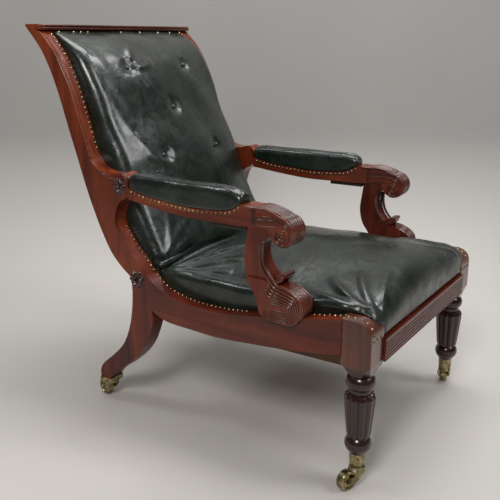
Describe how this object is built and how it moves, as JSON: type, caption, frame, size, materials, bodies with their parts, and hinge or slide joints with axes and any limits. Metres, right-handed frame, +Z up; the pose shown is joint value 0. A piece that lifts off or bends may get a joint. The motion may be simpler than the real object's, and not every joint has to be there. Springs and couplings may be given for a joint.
{
  "type": "library armchair",
  "caption": "Raked library armchair with padded scroll arms, reeded front legs on casters and a leather footrest that slides out from under the seat.",
  "frame": {"origin": "on the floor, under the middle of the whole chair", "axes": "X across the chair, left to right seen from the front; -Y the way the sitter faces; Z up"},
  "size_m": [0.6636, 0.96, 0.954],
  "materials": {
    "mahogany": "French-polished mahogany",
    "beech": "plain secondary wood",
    "leather": "dark green, nearly black hide, waxed",
    "brass": "old brass",
    "iron": "dark iron",
    "spring_steel": "spring wire",
    "webbing": "jute webbing",
    "hessian": "open canvas"
  },
  "bodies": {
    "frame": {"front_leg_left": "mahogany", "front_leg_right": "mahogany", "rear_leg_left": "mahogany", "rear_leg_right": "mahogany", "stile_left": "mahogany", "stile_right": "mahogany", "side_rail_left": "mahogany", "side_rail_right": "mahogany", "knee_rosette_left": "mahogany", "knee_rosette_right": "mahogany", "shoulder_leaf_left": "mahogany", "shoulder_leaf_right": "mahogany", "arm_left": "mahogany", "arm_right": "mahogany", "arm_pad_left": "leather", "arm_pad_right": "leather", "arm_plate_left": "iron", "arm_plate_right": "iron", "arm_support_left": "mahogany", "arm_support_right": "mahogany", "runner_guide_left": "beech", "runner_guide_right": "beech", "crest_rail": "mahogany", "lower_back_rail": "beech", "front_seat_rail": "beech", "rear_seat_rail": "beech", "corner_blocks": "beech", "outside_back": "leather", "seat_webbing": "webbing", "seat_springs": "spring_steel", "seat_hessian": "hessian", "seat_cushion": "leather", "back_cushion": "leather", "back_webbing": "webbing", "back_buttons": "leather", "seat_nails": "brass", "back_nails": "brass", "arm_nails": "brass", "front_left_cup": "brass", "front_right_cup": "brass", "rear_left_cup": "brass", "rear_right_cup": "brass"},
    "footrest": {"footrest_front": "mahogany", "footrest_board": "beech", "footrest_pad": "leather", "footrest_runner_left": "beech", "footrest_runner_right": "beech"},
    "front_left_swivel": {"front_left_horn": "brass", "front_left_axle": "brass"},
    "front_left_roller": {"front_left_wheel": "brass"},
    "front_right_swivel": {"front_right_horn": "brass", "front_right_axle": "brass"},
    "front_right_roller": {"front_right_wheel": "brass"},
    "rear_left_swivel": {"rear_left_horn": "brass", "rear_left_axle": "brass"},
    "rear_left_roller": {"rear_left_wheel": "brass"},
    "rear_right_swivel": {"rear_right_horn": "brass", "rear_right_axle": "brass"},
    "rear_right_roller": {"rear_right_wheel": "brass"}
  },
  "joints": [
    {"name": "footrest_slide", "type": "slide", "parent": "frame", "child": "footrest", "axis": [0, -1, 0], "range_m": [0, 0.33]},
    {"name": "front_left_turn", "type": "hinge", "parent": "frame", "child": "front_left_swivel", "pos_m": [-0.282, -0.441, 0.05], "axis": [0, 0, 1], "continuous": true},
    {"name": "front_left_roll", "type": "hinge", "parent": "front_left_swivel", "child": "front_left_roller", "pos_m": [-0.30889, -0.43014, 0.022], "axis": [-0.3746, -0.9272, 0], "continuous": true},
    {"name": "front_right_turn", "type": "hinge", "parent": "frame", "child": "front_right_swivel", "pos_m": [0.282, -0.441, 0.05], "axis": [0, 0, 1], "continuous": true},
    {"name": "front_right_roll", "type": "hinge", "parent": "front_right_swivel", "child": "front_right_roller", "pos_m": [0.30889, -0.43014, 0.022], "axis": [-0.3746, 0.9272, 0], "continuous": true},
    {"name": "rear_left_turn", "type": "hinge", "parent": "frame", "child": "rear_left_swivel", "pos_m": [-0.271, 0.2765, 0.05], "axis": [0, 0, 1], "continuous": true},
    {"name": "rear_left_roll", "type": "hinge", "parent": "rear_left_swivel", "child": "rear_left_roller", "pos_m": [-0.26349, 0.30451, 0.022], "axis": [-0.9659, 0.2588, 0], "continuous": true},
    {"name": "rear_right_turn", "type": "hinge", "parent": "frame", "child": "rear_right_swivel", "pos_m": [0.271, 0.2765, 0.05], "axis": [0, 0, 1], "continuous": true},
    {"name": "rear_right_roll", "type": "hinge", "parent": "rear_right_swivel", "child": "rear_right_roller", "pos_m": [0.26349, 0.30451, 0.022], "axis": [-0.9659, -0.2588, 0], "continuous": true}
  ]
}
